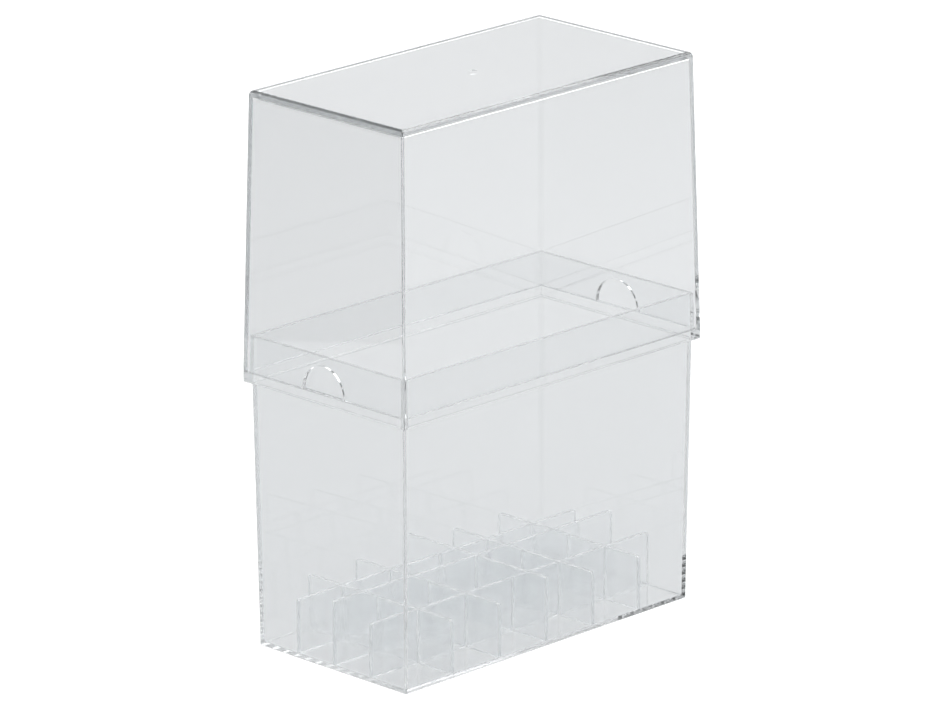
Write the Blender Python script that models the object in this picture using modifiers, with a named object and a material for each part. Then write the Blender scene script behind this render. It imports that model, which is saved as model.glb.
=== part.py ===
"""Clear marker storage case: a tapered base, a lift-off lid and an egg-crate insert of eight slats.

Metres, +Z up. The origin is the middle of the base's underside. X runs along the case, Y across it.
"""
import math

import bmesh
import bpy

MM = 0.001

# Outside of the closed case. The ledge and the lid's rim are the widest places.
RIM_LENGTH = 122.0 * MM
RIM_WIDTH = 65.8 * MM
HEIGHT = 167.0 * MM
LEDGE_LOW = 80.4 * MM
LEDGE_TOP = 83.5 * MM
COLLAR_TOP = 94.4 * MM

# How far a face lies inside the rim's outline, on every side.
BODY_INSET = 1.8 * MM
COLLAR_INSET = 1.6 * MM

# Draft: how far a wall leans in for each metre of height, on every side.
BODY_DRAFT = 0.012
LID_DRAFT = 0.022

# Plastic thicknesses.
LID_WALL = 1.3 * MM
TOP_PLATE = 2.2 * MM
BODY_WALL = 1.3 * MM
COLLAR_WALL = 1.2 * MM
FLOOR = 1.1 * MM
SLAT = 1.4 * MM

# Insert: slats stand on the floor, three along the case and five across it.
LONG_COUNT = 3
SHORT_COUNT = 5
LONG_PITCH = 14.9 * MM
SHORT_PITCH = 19.4 * MM
SLAT_TOP = 17.6 * MM
MIDDLE_SLAT_TOP = 20.8 * MM
SLAT_CORNER = 0.9 * MM

NOTCH_RADIUS = 8.4 * MM
GAP = 0.3 * MM
OVERLAP = 1.5 * MM
LID_FOOT = LEDGE_TOP + GAP

WALL_BEVEL = 0.45 * MM
LEDGE_BEVEL = 0.3 * MM
COLLAR_BEVEL = 0.35 * MM
NOTCH_SIDES = 48
QUARTER_TURN = math.pi / 2


def clear_scene():
    """Remove every object, so that the script builds on an empty file."""
    for old in list(bpy.data.objects):
        bpy.data.objects.remove(old, do_unlink=True)


def make_collection(name):
    """Return a new collection linked to the scene."""
    collection = bpy.data.collections.new(name)
    bpy.context.scene.collection.children.link(collection)
    return collection


def clear_plastic(name, colour):
    """Return a clear moulded polystyrene with a slight tint."""
    material = bpy.data.materials.new(name)
    material.use_nodes = True
    shader = material.node_tree.nodes["Principled BSDF"]
    shader.inputs["Base Color"].default_value = (*colour, 1.0)
    shader.inputs["Metallic"].default_value = 0.0
    shader.inputs["Roughness"].default_value = 0.04
    shader.inputs["IOR"].default_value = 1.59
    shader.inputs["Transmission Weight"].default_value = 0.9
    return material


def place(name, mesh, collection):
    """Return an object that shows the mesh, in the collection."""
    obj = bpy.data.objects.new(name, mesh)
    collection.objects.link(obj)
    return obj


def tapered_block(name, collection, low_size, high_size, low, high):
    """Return an upright box whose top and bottom have their own length and width."""
    mesh = bpy.data.meshes.new(name)
    form = bmesh.new()
    bmesh.ops.create_cube(form, size=1.0)
    for vert in form.verts:
        length, width = high_size if vert.co.z > 0 else low_size
        vert.co.x *= length
        vert.co.y *= width
        vert.co.z = high if vert.co.z > 0 else low
    form.to_mesh(mesh)
    form.free()
    return place(name, mesh, collection)


def box(name, collection, size, centre):
    """Return a plain box of the given size around its centre."""
    low, high = centre[2] - size[2] / 2, centre[2] + size[2] / 2
    obj = tapered_block(name, collection, size[:2], size[:2], low, high)
    obj.location = (centre[0], centre[1], 0)
    return obj


def outline(inset):
    """Return the length and width of the rim's outline, moved in by inset on every side."""
    return (RIM_LENGTH - 2 * inset, RIM_WIDTH - 2 * inset)


def round_edges(obj, width, segments):
    """Round every edge of the object with a Bevel modifier."""
    bevel = obj.modifiers.new("round_edges", "BEVEL")
    bevel.width = width
    bevel.segments = segments
    bevel.limit_method = "ANGLE"
    bevel.harden_normals = False


def combine(obj, other, operation):
    """Join the other object to this one, or cut it out, with a Boolean modifier."""
    boolean = obj.modifiers.new(other.name, "BOOLEAN")
    boolean.operation = operation
    boolean.solver = "EXACT"
    boolean.object = other
    other.hide_render = True
    other.display_type = "WIRE"


def make_base(parts, guides):
    """Lower shell: a body that widens upwards, a ledge round it and a collar that locates the lid."""
    middle = (LEDGE_LOW + LEDGE_TOP) / 2
    foot_inset = BODY_INSET + BODY_DRAFT * LEDGE_LOW
    floor_inset = foot_inset - BODY_DRAFT * FLOOR
    collar_lean = LID_DRAFT * (COLLAR_TOP - LEDGE_TOP)
    base = tapered_block("base_shell", parts, outline(foot_inset), outline(BODY_INSET), 0, middle)
    round_edges(base, WALL_BEVEL, 2)
    ledge = tapered_block("ledge_block", guides, outline(0), outline(0), LEDGE_LOW, LEDGE_TOP)
    round_edges(ledge, LEDGE_BEVEL, 1)
    combine(base, ledge, "UNION")
    collar = tapered_block("collar_block", guides, outline(COLLAR_INSET),
                           outline(COLLAR_INSET + collar_lean), middle, COLLAR_TOP)
    round_edges(collar, COLLAR_BEVEL, 2)
    combine(base, collar, "UNION")
    body_room = tapered_block("body_room", guides, outline(floor_inset + BODY_WALL),
                              outline(BODY_INSET + BODY_WALL), FLOOR, LEDGE_LOW)
    combine(base, body_room, "DIFFERENCE")
    room_inset = COLLAR_INSET + COLLAR_WALL
    collar_room = tapered_block("collar_room", guides, outline(room_inset),
                                outline(room_inset + collar_lean), LEDGE_LOW - OVERLAP / 2,
                                COLLAR_TOP + OVERLAP)
    combine(base, collar_room, "DIFFERENCE")
    return base


def make_lid(parts, guides):
    """Upper shell: a five-sided cover with a half-round thumb notch in each short wall's lower edge."""
    lean = LID_DRAFT * (HEIGHT - LID_FOOT)
    room_lean = LID_DRAFT * (HEIGHT - TOP_PLATE - LID_FOOT)
    mouth_lean = LID_DRAFT * OVERLAP
    blank = tapered_block("lid_shell", parts, outline(-mouth_lean), outline(lean),
                          LID_FOOT - OVERLAP, HEIGHT)
    round_edges(blank, WALL_BEVEL, 2)
    room = tapered_block("lid_room", guides, outline(LID_WALL - 2 * mouth_lean),
                         outline(LID_WALL + room_lean), LID_FOOT - 2 * OVERLAP, HEIGHT - TOP_PLATE)
    combine(blank, room, "DIFFERENCE")
    trim_size = (RIM_LENGTH + 4 * OVERLAP, RIM_WIDTH + 4 * OVERLAP, 2 * OVERLAP)
    trim = box("rim_trim", guides, trim_size, (0, 0, LID_FOOT - OVERLAP))
    combine(blank, trim, "DIFFERENCE")
    combine(blank, notch_cutter(guides), "DIFFERENCE")
    return blank


def notch_cutter(guides):
    """A rod along X through both short walls, centred on the lid's lower edge."""
    mesh = bpy.data.meshes.new("notch_rod")
    form = bmesh.new()
    bmesh.ops.create_cone(form, cap_ends=True, segments=NOTCH_SIDES, radius1=NOTCH_RADIUS,
                          radius2=NOTCH_RADIUS, depth=RIM_LENGTH + 4 * OVERLAP)
    form.to_mesh(mesh)
    form.free()
    rod = place("notch_rod", mesh, guides)
    rod.rotation_euler = (0, QUARTER_TURN, 0)
    rod.location = (0, 0, LID_FOOT)
    return rod


def slat_places(count, pitch):
    """Return each slat's distance from the middle, and the height of its top edge."""
    middle = count // 2
    return [((i - middle) * pitch, MIDDLE_SLAT_TOP if i == middle else SLAT_TOP) for i in range(count)]


def make_slat(name, parts, guides, along_x, offset, top, crossings):
    """One upright slat with a half-height slot at each crossing.

    The middle long slat drops in last, from above. Each slot opens upwards on the slat below."""
    foot = FLOOR + GAP
    wall_inset = BODY_INSET + BODY_DRAFT * (LEDGE_LOW - foot) + BODY_WALL + GAP
    length = outline(wall_inset)[0 if along_x else 1]
    middle = foot + (SLAT_TOP - foot) / 2
    slat = upright_plate(name, parts, length, top - foot)
    slat.location = (0, offset, foot) if along_x else (offset, 0, foot)
    slat.rotation_euler = (0, 0, 0 if along_x else QUARTER_TURN)
    for number, (crossing, _) in enumerate(crossings, 1):
        centre = (crossing, offset) if along_x else (offset, crossing)
        upward = along_x != (centre[1] == 0)
        low = middle - GAP / 2 if upward else foot - OVERLAP
        high = MIDDLE_SLAT_TOP + OVERLAP if upward else middle + GAP / 2
        size = (SLAT + 2 * GAP, 3 * SLAT) if along_x else (3 * SLAT, SLAT + 2 * GAP)
        slot = box(f"{name}_slot_{number}", guides, (*size, high - low), (*centre, (low + high) / 2))
        combine(slat, slot, "DIFFERENCE")
    return slat


def upright_plate(name, collection, length, height):
    """A thin plate along X, standing on z = 0, with its two upper corners rounded."""
    mesh = bpy.data.meshes.new(name)
    form = bmesh.new()
    bmesh.ops.create_cube(form, size=1.0)
    for vert in form.verts:
        vert.co.x *= length
        vert.co.y *= SLAT
        vert.co.z = height if vert.co.z > 0 else 0.0
    corners = [edge for edge in form.edges
               if all(v.co.z > height / 2 for v in edge.verts)
               and edge.verts[0].co.x * edge.verts[1].co.x > 0]
    bmesh.ops.bevel(form, geom=corners, offset=SLAT_CORNER, segments=3, profile=0.5,
                    affect="EDGES", clamp_overlap=True)
    form.to_mesh(mesh)
    form.free()
    return place(name, mesh, collection)


def make_insert(parts, guides):
    """Egg-crate insert: long slats front to back, and short slats left to right."""
    long_places = slat_places(LONG_COUNT, LONG_PITCH)
    short_places = slat_places(SHORT_COUNT, SHORT_PITCH)
    slats = []
    for side, (offset, top) in zip(("front", "middle", "back"), long_places):
        slats.append(make_slat(f"long_divider_{side}", parts, guides, True, offset, top, short_places))
    for number, (offset, top) in enumerate(short_places, 1):
        slats.append(make_slat(f"short_divider_{number}", parts, guides, False, offset, top, long_places))
    return slats


def main():
    """Build the case."""
    clear_scene()
    parts = make_collection("marker_case")
    guides = make_collection("guides")
    base = make_base(parts, guides)
    lid = make_lid(parts, guides)
    slats = make_insert(parts, guides)
    base.data.materials.append(clear_plastic("clear_base", (0.84, 0.87, 0.88)))
    lid.data.materials.append(clear_plastic("clear_lid", (0.87, 0.89, 0.90)))
    for slat in slats:
        slat.data.materials.append(clear_plastic(f"clear_{slat.name}", (0.82, 0.85, 0.87)))


main()
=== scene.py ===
"""Looks of the clear marker case: two moulded shells with rounded edges, an egg-crate insert of eight
slats, clear polystyrene, and a pale studio. Metres, +Z up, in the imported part's frame."""
import math

import bmesh
import bpy
from mathutils import Matrix, Vector


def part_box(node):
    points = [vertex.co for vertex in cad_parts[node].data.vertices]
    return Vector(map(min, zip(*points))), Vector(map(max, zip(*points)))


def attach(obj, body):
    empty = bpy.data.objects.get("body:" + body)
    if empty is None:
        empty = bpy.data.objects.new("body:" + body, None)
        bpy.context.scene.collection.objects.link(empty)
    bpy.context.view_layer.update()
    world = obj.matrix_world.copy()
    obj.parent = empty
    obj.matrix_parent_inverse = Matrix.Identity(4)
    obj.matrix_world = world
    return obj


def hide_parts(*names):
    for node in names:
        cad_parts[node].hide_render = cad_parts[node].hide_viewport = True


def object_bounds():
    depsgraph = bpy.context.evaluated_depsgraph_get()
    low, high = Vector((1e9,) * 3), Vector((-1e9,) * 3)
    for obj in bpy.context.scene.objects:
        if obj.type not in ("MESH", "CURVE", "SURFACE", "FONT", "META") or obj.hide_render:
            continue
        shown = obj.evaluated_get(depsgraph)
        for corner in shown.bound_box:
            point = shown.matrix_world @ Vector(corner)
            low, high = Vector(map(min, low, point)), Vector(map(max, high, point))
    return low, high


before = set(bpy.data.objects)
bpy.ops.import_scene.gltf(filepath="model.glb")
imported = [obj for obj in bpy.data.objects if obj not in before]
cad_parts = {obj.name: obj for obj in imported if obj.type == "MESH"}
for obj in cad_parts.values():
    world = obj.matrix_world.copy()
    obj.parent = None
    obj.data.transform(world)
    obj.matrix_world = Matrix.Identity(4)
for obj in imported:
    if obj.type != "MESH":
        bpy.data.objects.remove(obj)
CAD_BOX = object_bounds()

MM = 0.001

# Heights and wall thicknesses of the mouldings.
LEDGE_LOW = 80.4 * MM
LEDGE_TOP = 83.5 * MM
LID_WALL = 1.3 * MM
TOP_PLATE = 2.1 * MM
BODY_WALL = 1.3 * MM
COLLAR_WALL = 1.2 * MM
FLOOR = 1.1 * MM

# How far a face lies inside the rim's outline, and how far it leans in for each metre of height.
BODY_INSET = 1.8 * MM
COLLAR_INSET = 1.6 * MM
BODY_DRAFT = 0.012
LID_DRAFT = 0.022

# Thumb notches, and how near a point lies to the notch's rod to count as being on it.
NOTCH_RADIUS = 8.4 * MM
NOTCH_SIDES = 96
ON_ROD = 0.02 * MM

# Gap left where one piece rests on another, and at each face where two slats cross.
SEAM = 0.06 * MM
JOINT_GAP = 0.02 * MM

# Roundings of the mouldings.
WALL_CORNER = 0.4 * MM
INNER_CORNER = 0.12 * MM
LEDGE_CORNER = 0.4 * MM
TOP_EDGE = 1.4 * MM
FOOT_EDGE = 0.4 * MM
RIM_EDGE = 0.1 * MM
LEDGE_EDGE = 0.1 * MM
FLOOR_FILLET = 0.4 * MM
CEILING_FILLET = 0.45 * MM
NOTCH_EDGE = 0.12 * MM
SLAT_EDGE = 0.16 * MM
SLAT_CORNER = 0.9 * MM

# The gate mark in the middle of the lid's top.
GATE_RADIUS = 1.2 * MM
GATE_DEPTH = 0.16 * MM
GATE_NUB = 0.12 * MM
GATE_NUB_RADIUS = 0.4 * MM
GATE_RINGS = 6
GATE_SIDES = 48
GATE_RIM = 1.1 * GATE_RADIUS
WELD = 0.001 * MM

# Flat steps in the roundings of the outline's corners, of the walls' sections and of the fine bevels.
CORNER_STEPS = 7
ARC_STEPS = 6
SLAT_CORNER_STEPS = 7
BEVEL_STEPS = 2

# Edges sharper than these stay sharp in the shading, or get rounded.
SMOOTH_ANGLE = math.radians(40)
SLAT_ANGLE = math.radians(40)
NOTCH_ANGLE = math.radians(50)

# Clear polystyrene. The colour of its absorption, the long waves of a moulded face, and fine scuffs.
PLASTIC_IOR = 1.59
BODY_COLOUR = (0.5, 0.53, 0.54, 1.0)
WAVE_SCALE = 28.0
WAVE_STRENGTH = 0.12
WAVE_HEIGHT = 0.4 * MM
SCUFF_SCALE = 2400.0
SCUFF_HEIGHT = 0.6 * MM

# The studio, in metres. Lights: name, place, side and power. The floor lies just below the case, and so does
# the card, which only reflections see and which paints a dark reflection.
LIGHTS = (("top_softbox", (0.0, 0.0, 2.4), 2.0, 49.0),
          ("side_panel", (0.6, -0.2, 1.0), 0.6, 4.0),
          ("back_panel", (0.9, 0.9, 1.2), 0.8, 4.0))
FLOOR_RADIUS = 6.0
FLOOR_DROP = 0.2 * MM
CARD_DROP = 0.1 * MM
CARD_SIZE = 0.5
CARD_PLACE = (-0.49, 0.43)
CARD_HIDDEN_FROM = ("camera", "diffuse", "transmission", "volume_scatter", "shadow")

WHITE = (1.0, 1.0, 1.0, 1.0)
BLACK = (0.0, 0.0, 0.0, 1.0)
PAPER_WHITE = (0.95, 0.95, 0.95, 1.0)
# Floor colour for all rays but camera rays: painted shade in what the plastic reflects and lets through.
FLOOR_SHADE_GREY = (0.60, 0.605, 0.61, 1.0)
# Black of the card that only reflections see: a painted dark reflection on the lid's short wall.
REFLECTION_ONLY_BLACK = (0.02, 0.02, 0.02, 1.0)

# Colours of the surroundings by height: the sine of the elevation, and the colour there.
SKY = ((0.34, (0.82, 0.83, 0.84, 1.0)),
       (0.55, (0.40, 0.42, 0.43, 1.0)),
       (1.0, (0.05, 0.05, 0.05, 1.0)))

# Black flags in the surroundings: the way to each one, and the cosines of its soft edge and its core.
BLACK_FLAGS = (((-0.67, 0.67, 0.16), 0.972, 0.985),
               ((0.675, -0.72, 0.13), 0.988, 0.993),
               ((0.675, -0.56, 0.48), 0.991, 0.995))

# The camera: where it looks, from how far and from which way.
CAMERA_AIM = (-0.57 * MM, 0.0, 82.0 * MM)
CAMERA_DISTANCE = 2.11
CAMERA_AZIMUTH = math.radians(-45.22)
CAMERA_ELEVATION = math.radians(17.43)
CAMERA_ROLL = math.radians(-0.21)
CAMERA_LENS = 277.7
SENSOR_WIDTH = 36.0

# Light crosses many faces of clear plastic before it leaves the case.
MANY_BOUNCES = 128
TRANSPARENT_BOUNCES = 48


# ---------------------------------------------------------------- mesh helpers

def rounded_loop(length, width, radius, z):
    """Points of a rounded rectangle at height z, counter-clockwise seen from above."""
    points = []
    for quarter, (sx, sy) in enumerate(((1, 1), (-1, 1), (-1, -1), (1, -1))):
        centre_x = sx * (length / 2 - radius)
        centre_y = sy * (width / 2 - radius)
        for step in range(CORNER_STEPS + 1):
            angle = math.radians(90 * quarter + 90 * step / CORNER_STEPS)
            points.append((centre_x + radius * math.cos(angle), centre_y + radius * math.sin(angle), z))
    return points


def moulding(name, sections):
    """A closed shell through rounded rectangles (length, width, radius, z), capped at both ends."""
    form = bmesh.new()
    rings = [[form.verts.new(p) for p in rounded_loop(*section)] for section in sections]
    for low, high in zip(rings, rings[1:]):
        for i in range(len(low)):
            j = (i + 1) % len(low)
            form.faces.new((low[i], low[j], high[j], high[i]))
    form.faces.new(reversed(rings[0]))
    form.faces.new(rings[-1])
    bmesh.ops.recalc_face_normals(form, faces=form.faces)
    return to_object(name, form)


def to_object(name, form):
    """Turn a bmesh into an object in the scene."""
    mesh = bpy.data.meshes.new(name)
    form.to_mesh(mesh)
    form.free()
    piece = bpy.data.objects.new(name, mesh)
    bpy.context.scene.collection.objects.link(piece)
    return piece


def arc(centre_in, centre_z, radius, start, end):
    """(inset, z) points of an arc in the wall's section. Angles in degrees: 0 is outwards, 90 is up."""
    points = []
    for step in range(ARC_STEPS + 1):
        angle = math.radians(start + (end - start) * step / ARC_STEPS)
        points.append((centre_in - radius * math.cos(angle), centre_z + radius * math.sin(angle)))
    return points


def bake_modifiers(piece):
    """Replace the piece's mesh by what its modifiers make of it."""
    evaluated = piece.evaluated_get(bpy.context.evaluated_depsgraph_get())
    mesh = bpy.data.meshes.new_from_object(evaluated)
    piece.modifiers.clear()
    piece.data = mesh


def cut_out(piece, cutter):
    """Cut the other object out of the piece, and remove it."""
    boolean = piece.modifiers.new("cut", "BOOLEAN")
    boolean.operation = "DIFFERENCE"
    boolean.solver = "EXACT"
    boolean.object = cutter
    bake_modifiers(piece)
    bpy.data.objects.remove(cutter, do_unlink=True)


def finish_shading(piece):
    """Smooth roundings between faces that stay truly flat."""
    piece.data.shade_smooth()
    piece.data.set_sharp_from_angle(angle=SMOOTH_ANGLE)
    weighted = piece.modifiers.new("flat_faces", "WEIGHTED_NORMAL")
    weighted.keep_sharp = True
    weighted.weight = 100
    bake_modifiers(piece)


# ---------------------------------------------------------------- pieces

def outline_sections(profile, length, width):
    """Turn (inset, z, corner radius) rows into rounded rectangles of the rim's outline moved in."""
    return [(length - 2 * inset, width - 2 * inset, radius, z) for inset, z, radius in profile]


def with_corner(points, radius):
    """Add the same corner radius to every (inset, z) point."""
    return [(inset, z, radius) for inset, z in points]


def make_base(box_low, box_high):
    """Base: floor, tapering body, ledge and the collar that the lid drops over."""
    length, width = (box_high - box_low).xy
    top = box_high.z
    foot_inset = BODY_INSET + BODY_DRAFT * LEDGE_LOW
    collar_lean = LID_DRAFT * (top - LEDGE_TOP)
    floor_inset = foot_inset - BODY_DRAFT * FLOOR + BODY_WALL
    collar_in = COLLAR_INSET + COLLAR_WALL
    profile = []
    profile += with_corner([(foot_inset + 2 * FOOT_EDGE, 0.0)], WALL_CORNER)
    profile += with_corner(arc(foot_inset + FOOT_EDGE, FOOT_EDGE, FOOT_EDGE, -90, 0), WALL_CORNER)
    profile += with_corner([(BODY_INSET, LEDGE_LOW)], WALL_CORNER)
    profile += with_corner(arc(LEDGE_EDGE, LEDGE_LOW + LEDGE_EDGE, LEDGE_EDGE, -90, 0), LEDGE_CORNER)
    profile += with_corner(arc(LEDGE_EDGE, LEDGE_TOP - LEDGE_EDGE, LEDGE_EDGE, 0, 90), LEDGE_CORNER)
    profile += with_corner([(COLLAR_INSET, LEDGE_TOP)], WALL_CORNER)
    profile += with_corner(arc(COLLAR_INSET + collar_lean + RIM_EDGE, top - RIM_EDGE, RIM_EDGE, 0, 90),
                           WALL_CORNER)
    profile += with_corner(arc(collar_in + collar_lean - RIM_EDGE, top - RIM_EDGE, RIM_EDGE, 90, 180),
                           INNER_CORNER)
    profile += with_corner([(collar_in, LEDGE_LOW), (BODY_INSET + BODY_WALL, LEDGE_LOW)], INNER_CORNER)
    profile += with_corner(fillet_down(floor_inset), INNER_CORNER)
    return moulding("base_moulding", outline_sections(profile, length, width))


def fillet_down(wall_inset):
    """(inset, z) points of the fillet between an inner wall and the floor, going down."""
    centre_in = wall_inset + FLOOR_FILLET
    centre_z = FLOOR + FLOOR_FILLET
    return arc(centre_in, centre_z, FLOOR_FILLET, 0, -90)


def make_lid(box_low, box_high):
    """Lid: five walls with a rounded top edge and a thumb notch in each short wall."""
    length, width = (box_high - box_low).xy
    foot, top = LEDGE_TOP + SEAM, box_high.z
    lean = LID_DRAFT * (top - foot)
    inner_top = top - TOP_PLATE
    inner_lean = LID_DRAFT * (inner_top - foot)
    profile = []
    profile += with_corner([(inner_lean + LID_WALL + 2 * CEILING_FILLET, inner_top)], INNER_CORNER)
    profile += with_corner(arc(inner_lean + LID_WALL + CEILING_FILLET, inner_top - CEILING_FILLET,
                               CEILING_FILLET, 90, 0), INNER_CORNER)
    profile += with_corner(arc(LID_WALL - RIM_EDGE, foot + RIM_EDGE, RIM_EDGE, 180, 270), INNER_CORNER)
    profile += with_corner(arc(RIM_EDGE, foot + RIM_EDGE, RIM_EDGE, -90, 0), LEDGE_CORNER)
    profile += with_corner(arc(lean + TOP_EDGE, top - TOP_EDGE, TOP_EDGE, 0, 90), WALL_CORNER)
    lid = moulding("lid_moulding", outline_sections(profile, length, width))
    cut_out(lid, notch_rod(length, foot))
    round_notches(lid, foot)
    cut_out(lid, gate_dish(top))
    return lid


def gate_dish(face):
    """A turned cutter that leaves a shallow round gate mark, with a broken-off nub in it, in the face."""
    ball = (GATE_RADIUS ** 2 + GATE_DEPTH ** 2) / (2 * GATE_DEPTH)
    profile = [(0.0, -GATE_DEPTH + GATE_NUB), (0.7 * GATE_NUB_RADIUS, -GATE_DEPTH + 0.9 * GATE_NUB),
               (GATE_NUB_RADIUS, -GATE_DEPTH + 0.3 * GATE_NUB)]
    for step in range(1, GATE_RINGS + 1):
        out = GATE_NUB_RADIUS + (GATE_RIM - GATE_NUB_RADIUS) * step / GATE_RINGS
        profile.append((out, ball - GATE_DEPTH - math.sqrt(ball ** 2 - out ** 2)))
    profile += [(GATE_RIM, 2 * GATE_DEPTH), (0.0, 2 * GATE_DEPTH)]
    form = bmesh.new()
    verts = [form.verts.new((out, 0.0, face + up)) for out, up in profile]
    edges = [form.edges.new(pair) for pair in zip(verts, verts[1:])]
    bmesh.ops.spin(form, geom=verts + edges, axis=(0, 0, 1), cent=(0, 0, 0), steps=GATE_SIDES,
                   angle=math.tau)
    bmesh.ops.remove_doubles(form, verts=form.verts, dist=WELD)
    bmesh.ops.recalc_face_normals(form, faces=form.faces)
    return to_object("gate_dish", form)


def notch_rod(length, height):
    """A rod along X through both short walls, centred on the lid's lower edge."""
    form = bmesh.new()
    bmesh.ops.create_cone(form, cap_ends=True, segments=NOTCH_SIDES, radius1=NOTCH_RADIUS,
                          radius2=NOTCH_RADIUS, depth=1.2 * length)
    bmesh.ops.rotate(form, verts=form.verts, matrix=Matrix.Rotation(math.pi / 2, 3, "Y"))
    bmesh.ops.translate(form, verts=form.verts, vec=(0, 0, height))
    return to_object("notch_rod", form)


def round_notches(lid, foot):
    """Round the arc edges that the notches leave on the wall faces."""
    form = bmesh.new()
    form.from_mesh(lid.data)

    def on_rod(vert):
        return abs(math.hypot(vert.co.y, vert.co.z - foot) - NOTCH_RADIUS) < ON_ROD

    edges = [edge for edge in form.edges if all(on_rod(v) for v in edge.verts)
             and edge.is_manifold and edge.calc_face_angle() > NOTCH_ANGLE]
    bmesh.ops.bevel(form, geom=edges, offset=NOTCH_EDGE, segments=BEVEL_STEPS, profile=0.5,
                    affect="EDGES", clamp_overlap=True)
    form.to_mesh(lid.data)
    form.free()


def slat_outline(length, height, slots, slot_half):
    """(along, up) points round a slat, counter-clockwise.

    A slot is its place along the slat, the height of its floor and whether it opens upwards."""
    def slot_points(at, edge, floor):
        left, right = at - slot_half, at + slot_half
        return [(left, edge), (left, floor), (right, floor), (right, edge)]

    points = [(-length / 2, 0.0)]
    for at, floor, upward in slots:
        if not upward:
            points += slot_points(at, 0.0, floor)
    points.append((length / 2, 0.0))
    points += upper_corner(length / 2 - SLAT_CORNER, height - SLAT_CORNER, 0)
    for at, floor, upward in reversed(slots):
        if upward:
            points += reversed(slot_points(at, height, floor))
    points += upper_corner(SLAT_CORNER - length / 2, height - SLAT_CORNER, 90)
    return points


def upper_corner(along, up, start):
    """(along, up) points of a slat's rounded upper corner round its centre, from the start angle on."""
    points = []
    for step in range(SLAT_CORNER_STEPS + 1):
        angle = math.radians(start + 90 * step / SLAT_CORNER_STEPS)
        points.append((along + SLAT_CORNER * math.cos(angle), up + SLAT_CORNER * math.sin(angle)))
    return points


def round_slat(form, slots, slot_half):
    """Round a slat's long edges and ends. The sawn slots stay sharp."""
    def sawn(edge):
        return any(all(abs(vert.co.x - at) < 1.1 * slot_half for vert in edge.verts) for at, _, _ in slots)

    form.normal_update()
    edges = [edge for edge in form.edges if edge.calc_face_angle() > SLAT_ANGLE and not sawn(edge)]
    bmesh.ops.bevel(form, geom=edges, offset=SLAT_EDGE, segments=BEVEL_STEPS, profile=0.5,
                    affect="EDGES", clamp_overlap=True)


def make_slat(node, crossings, middle):
    """One slat, as long and as tall as its CAD node, slotted up to the middle where other slats cross it.

    The middle long slat drops in last, from above. Each slot opens upwards on the slat below."""
    low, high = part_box(node)
    foot = FLOOR + SEAM
    size = high - low
    along_x = size.x > size.y
    centre = (low + high) / 2
    thickness = min(size.x, size.y)
    slot_half = thickness / 2 + JOINT_GAP
    slots = []
    for at in crossings:
        upward = along_x != (abs(centre.y if along_x else at) < thickness)
        slots.append((at, middle - foot + (-JOINT_GAP if upward else JOINT_GAP) / 2, upward))
    outline = slat_outline(max(size.x, size.y), high.z - foot, slots, slot_half)
    form = bmesh.new()
    verts = [form.verts.new((along, -thickness / 2, up)) for along, up in outline]
    face = form.faces.new(verts)
    made = bmesh.ops.extrude_face_region(form, geom=[face])
    moved = [item for item in made["geom"] if isinstance(item, bmesh.types.BMVert)]
    bmesh.ops.translate(form, verts=moved, vec=(0, thickness, 0))
    bmesh.ops.recalc_face_normals(form, faces=form.faces)
    round_slat(form, slots, slot_half)
    if not along_x:
        bmesh.ops.rotate(form, verts=form.verts, matrix=Matrix.Rotation(math.pi / 2, 3, "Z"))
    bmesh.ops.translate(form, verts=form.verts, vec=(centre.x, centre.y, foot))
    return to_object(node.replace("divider", "slat"), form)


# ---------------------------------------------------------------- materials

def add(nodes, kind, **values):
    """Add a node and set its inputs by name."""
    node = nodes.new(kind)
    for name, value in values.items():
        node.inputs[name.replace("_", " ")].default_value = value
    return node


def clear_plastic(name, tint, haze, depth=0.0, scuffs=0.0):
    """Clear polystyrene: a light haze, faint waves of the moulded face, and fine scuffs where asked.

    Depth is how strongly it absorbs light along its way. Shadow and diffuse rays pass straight
    through, so that the case lets the studio's light in."""
    material = bpy.data.materials.new(name)
    material.use_nodes = True
    nodes, links = material.node_tree.nodes, material.node_tree.links
    shader = nodes["Principled BSDF"]
    shader.inputs["Base Color"].default_value = (*tint, 1.0)
    shader.inputs["Metallic"].default_value = 0.0
    shader.inputs["IOR"].default_value = PLASTIC_IOR
    shader.inputs["Transmission Weight"].default_value = 1.0
    shader.inputs["Roughness"].default_value = haze

    place = nodes.new("ShaderNodeTexCoord")
    waves = add(nodes, "ShaderNodeTexNoise", Scale=WAVE_SCALE, Detail=1.0, Roughness=0.4)
    links.new(place.outputs["Object"], waves.inputs["Vector"])
    surface = add(nodes, "ShaderNodeBump", Strength=WAVE_STRENGTH, Distance=WAVE_HEIGHT)
    links.new(waves.outputs["Fac"], surface.inputs["Height"])
    if scuffs:
        surface = scuffed(nodes, links, place, surface, scuffs)
    links.new(surface.outputs["Normal"], shader.inputs["Normal"])

    film = add(nodes, "ShaderNodeBsdfTransparent", Color=WHITE)
    path = nodes.new("ShaderNodeLightPath")
    either = nodes.new("ShaderNodeMath")
    either.operation = "MAXIMUM"
    links.new(path.outputs["Is Shadow Ray"], either.inputs[0])
    links.new(path.outputs["Is Diffuse Ray"], either.inputs[1])
    mix = nodes.new("ShaderNodeMixShader")
    links.new(either.outputs["Value"], mix.inputs["Fac"])
    links.new(shader.outputs["BSDF"], mix.inputs[1])
    links.new(film.outputs["BSDF"], mix.inputs[2])
    links.new(mix.outputs["Shader"], nodes["Material Output"].inputs["Surface"])
    if depth:
        body = add(nodes, "ShaderNodeVolumeAbsorption", Color=BODY_COLOUR, Density=depth)
        links.new(body.outputs["Volume"], nodes["Material Output"].inputs["Volume"])
    return material


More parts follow.
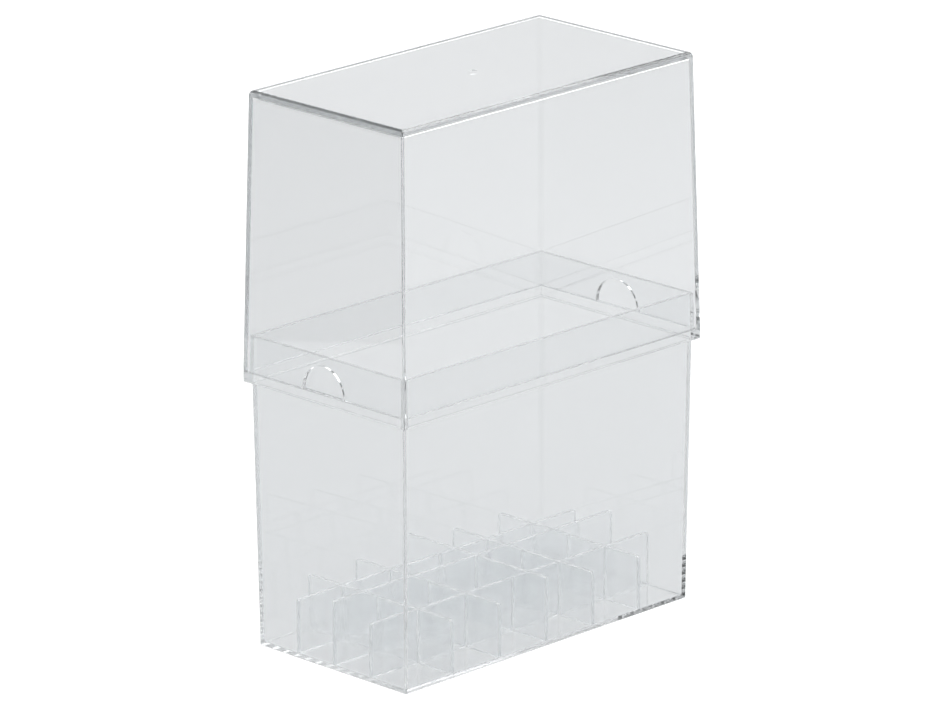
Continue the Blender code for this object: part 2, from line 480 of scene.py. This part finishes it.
def scuffed(nodes, links, place, under, strength):
    """Fine scuffs over the moulded waviness."""
    grain = add(nodes, "ShaderNodeTexNoise", Scale=SCUFF_SCALE, Detail=1.0, Roughness=0.6)
    links.new(place.outputs["Object"], grain.inputs["Vector"])
    scuffs = add(nodes, "ShaderNodeBump", Strength=strength, Distance=SCUFF_HEIGHT)
    links.new(grain.outputs["Fac"], scuffs.inputs["Height"])
    links.new(under.outputs["Normal"], scuffs.inputs["Normal"])
    return scuffs


def pale_floor():
    """Matt white paper to the camera, and a greyer copy, painted shade, in what the plastic reflects and
    lets through.
    """
    material = bpy.data.materials.new("pale_floor")
    material.use_nodes = True
    nodes, links = material.node_tree.nodes, material.node_tree.links
    nodes.remove(nodes["Principled BSDF"])
    white = add(nodes, "ShaderNodeBsdfDiffuse", Color=PAPER_WHITE)
    off_camera_shade = add(nodes, "ShaderNodeBsdfDiffuse", Color=FLOOR_SHADE_GREY)
    path = nodes.new("ShaderNodeLightPath")
    mix = nodes.new("ShaderNodeMixShader")
    # Camera rays see white paper. Every other ray sees the grey copy, which is painted shade.
    links.new(path.outputs["Is Camera Ray"], mix.inputs["Fac"])
    links.new(off_camera_shade.outputs["BSDF"], mix.inputs[1])
    links.new(white.outputs["BSDF"], mix.inputs[2])
    links.new(mix.outputs["Shader"], nodes["Material Output"].inputs["Surface"])
    return material


# ---------------------------------------------------------------- studio

def make_floor():
    """A wide pale floor under the case."""
    form = bmesh.new()
    bmesh.ops.create_circle(form, cap_ends=True, segments=96, radius=FLOOR_RADIUS)
    floor = to_object("studio_floor", form)
    floor.location.z = CAD_BOX[0].z - FLOOR_DROP
    floor.data.materials.append(pale_floor())


def make_reflection_card():
    """A black card on the floor, off the lid's short wall, that only glossy rays see: a painted dark
    reflection in what that wall mirrors.
    """
    form = bmesh.new()
    bmesh.ops.create_grid(form, x_segments=1, y_segments=1, size=CARD_SIZE / 2)
    card = to_object("painted_reflection_card", form)
    card.rotation_euler.z = math.radians(45)
    card.location = (*CARD_PLACE, CAD_BOX[0].z - CARD_DROP)
    # Only glossy rays see the card, so it paints a dark reflection and nothing else.
    for kind in CARD_HIDDEN_FROM:
        setattr(card, f"visible_{kind}", False)
    material = bpy.data.materials.new("painted_reflection_card")
    material.use_nodes = True
    shader = material.node_tree.nodes["Principled BSDF"]
    shader.inputs["Base Color"].default_value = REFLECTION_ONLY_BLACK
    shader.inputs["Roughness"].default_value = 1.0
    card.data.materials.append(material)


def colour_ramp(nodes, stops):
    """A ramp through (position, colour) stops, the first and the last at its ends."""
    ramp = nodes.new("ShaderNodeValToRGB")
    elements = ramp.color_ramp.elements
    elements[0].position, elements[0].color = stops[0]
    elements[1].position, elements[1].color = stops[-1]
    for position, colour in stops[1:-1]:
        elements.new(position).color = colour
    return ramp


def flagged(nodes, links, place, colour, flag):
    """The colour of the surroundings with one soft black flag in front of it."""
    way, edge, core = flag
    facing = nodes.new("ShaderNodeVectorMath")
    facing.operation = "DOT_PRODUCT"
    facing.inputs[1].default_value = Vector(way).normalized()
    links.new(place.outputs["Generated"], facing.inputs[0])
    mask = colour_ramp(nodes, ((edge, WHITE), (core, BLACK)))
    links.new(facing.outputs["Value"], mask.inputs["Fac"])
    shade = nodes.new("ShaderNodeVectorMath")
    shade.operation = "MULTIPLY"
    links.new(colour, shade.inputs[0])
    links.new(mask.outputs["Color"], shade.inputs[1])
    return shade.outputs["Vector"]


def make_world():
    """Soft white surroundings, dimmer overhead, with black flags."""
    world = bpy.data.worlds.new("studio")
    bpy.context.scene.world = world
    world.use_nodes = True
    nodes, links = world.node_tree.nodes, world.node_tree.links
    place = nodes.new("ShaderNodeTexCoord")
    split = nodes.new("ShaderNodeSeparateXYZ")
    links.new(place.outputs["Generated"], split.inputs["Vector"])
    sky = colour_ramp(nodes, SKY)
    links.new(split.outputs["Z"], sky.inputs["Fac"])
    colour = sky.outputs["Color"]
    for flag in BLACK_FLAGS:
        colour = flagged(nodes, links, place, colour, flag)
    links.new(colour, nodes["Background"].inputs["Color"])
    nodes["Background"].inputs["Strength"].default_value = 1.0


def soft_light(name, place, size, power):
    """A square area light that faces the middle of the case."""
    light = bpy.data.lights.new(name, "AREA")
    light.energy = power
    light.size = size
    lamp = bpy.data.objects.new(name, light)
    bpy.context.scene.collection.objects.link(lamp)
    lamp.location = place
    middle = (CAD_BOX[0] + CAD_BOX[1]) / 2
    lamp.rotation_euler = (middle - Vector(place)).to_track_quat("-Z", "Y").to_euler()


def make_camera():
    """A long lens a little above the case, off its left front corner."""
    flat = math.cos(CAMERA_ELEVATION)
    back = Vector((math.sin(CAMERA_AZIMUTH) * flat, -math.cos(CAMERA_AZIMUTH) * flat,
                   math.sin(CAMERA_ELEVATION)))
    data = bpy.data.cameras.new("camera")
    data.sensor_width = SENSOR_WIDTH
    data.lens = CAMERA_LENS
    data.clip_start = 0.05
    data.clip_end = 50.0
    camera = bpy.data.objects.new("camera", data)
    bpy.context.scene.collection.objects.link(camera)
    camera.location = Vector(CAMERA_AIM) + back * CAMERA_DISTANCE
    turn = (-back).to_track_quat("-Z", "Y").to_matrix() @ Matrix.Rotation(CAMERA_ROLL, 3, "Z")
    camera.rotation_euler = turn.to_euler()
    bpy.context.scene.camera = camera


# ---------------------------------------------------------------- the case

def dress(piece, body, node, material):
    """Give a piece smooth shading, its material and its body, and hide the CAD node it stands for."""
    finish_shading(piece)
    piece.data.materials.append(material)
    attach(piece, body)
    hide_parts(node)


def crossing_places(names, axis):
    """The place of each named slat along the axis, in order."""
    return sorted(sum(getattr(corner, axis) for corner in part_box(name)) / 2 for name in names)


def make_insert(plastic):
    """Three long and five short slats, slotted into each other."""
    longs = [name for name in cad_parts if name.startswith("long_divider")]
    shorts = [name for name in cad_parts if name.startswith("short_divider")]
    middle = (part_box(longs[0])[0].z + min(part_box(name)[1].z for name in longs)) / 2
    for names, others, axis in ((longs, shorts, "x"), (shorts, longs, "y")):
        for node in names:
            slat = make_slat(node, crossing_places(others, axis), middle)
            dress(slat, "insert", node, plastic)


def make_studio():
    """Floor, card, surroundings, lights and how far light is followed."""
    make_floor()
    make_reflection_card()
    make_world()
    for light in LIGHTS:
        soft_light(*light)
    scene = bpy.context.scene
    scene.view_settings.view_transform = "Standard"
    scene.cycles.max_bounces = MANY_BOUNCES
    scene.cycles.transmission_bounces = MANY_BOUNCES
    scene.cycles.glossy_bounces = MANY_BOUNCES
    scene.cycles.transparent_max_bounces = TRANSPARENT_BOUNCES


def main():
    """Build the case and the studio."""
    make_camera()
    base_plastic = clear_plastic("base_plastic", (0.945, 0.95, 0.953), haze=0.02, depth=3.0)
    lid_plastic = clear_plastic("lid_plastic", (0.98, 0.983, 0.985), haze=0.02, depth=6.0)
    slat_plastic = clear_plastic("slat_plastic", (0.965, 0.972, 0.976), haze=0.04, scuffs=0.06)
    dress(make_base(*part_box("base_shell")), "base", "base_shell", base_plastic)
    dress(make_lid(*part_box("lid_shell")), "lid", "lid_shell", lid_plastic)
    make_insert(slat_plastic)
    make_studio()


main()
